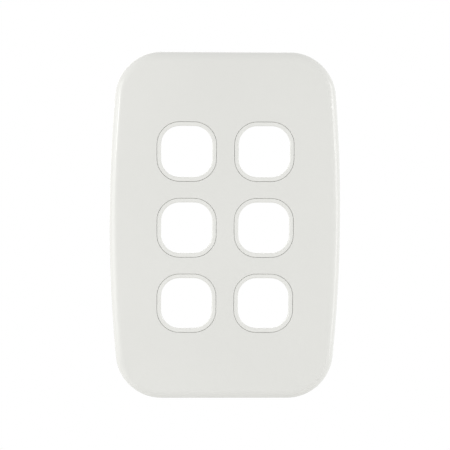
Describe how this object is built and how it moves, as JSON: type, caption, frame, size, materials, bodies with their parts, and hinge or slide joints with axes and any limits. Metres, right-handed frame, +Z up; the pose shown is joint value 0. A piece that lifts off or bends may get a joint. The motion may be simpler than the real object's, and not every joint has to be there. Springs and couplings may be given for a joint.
{
  "type": "grid switch plate",
  "caption": "Upright wall plate with rows of rounded square openings for switch mechanisms: a clipped cover over a ribbed grid with collars, latch fingers and screw bosses.",
  "frame": {"origin": "centre of the plate on the wall plane, midway between the two fixing holes", "axes": "+Z up as on the wall, +X to the right seen from the front, +Y into the wall; the face looks along -Y"},
  "size_m": [0.076, 0.0085, 0.1146],
  "materials": {
    "cover_white": "smooth moulded, soft gloss",
    "grid_white": "smooth moulded, soft gloss"
  },
  "bodies": {
    "root": {"cover_plate": "cover_white", "grid_frame": "grid_white"}
  },
  "joints": []
}
